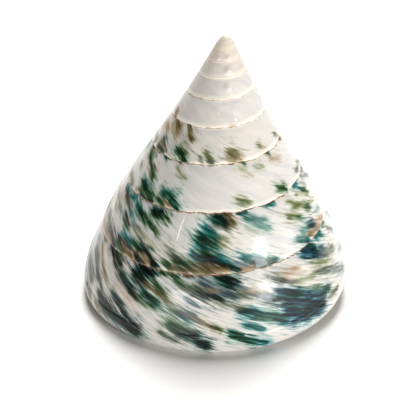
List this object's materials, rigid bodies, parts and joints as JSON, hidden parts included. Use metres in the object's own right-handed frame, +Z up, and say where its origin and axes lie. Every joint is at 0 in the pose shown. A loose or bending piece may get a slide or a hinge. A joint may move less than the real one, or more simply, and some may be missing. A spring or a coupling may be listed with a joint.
{
  "type": "top shell",
  "caption": "Conical coiled sea shell with a flat base, an oblique mouth and a hollow last whorl; a natural object to stand on display.",
  "frame": {"origin": "middle of the bounding box at the ground the shell rests on", "axes": "+Z up as the shell rests, with the tip at the top; -Y towards the viewer of the picture, and the mouth at the back"},
  "size_m": [0.053, 0.0524, 0.0531],
  "materials": {
    "polished_shell": "polished pearly shell, cream with green and brown streaks"
  },
  "bodies": {
    "root": {"shell": "polished_shell"}
  },
  "joints": []
}
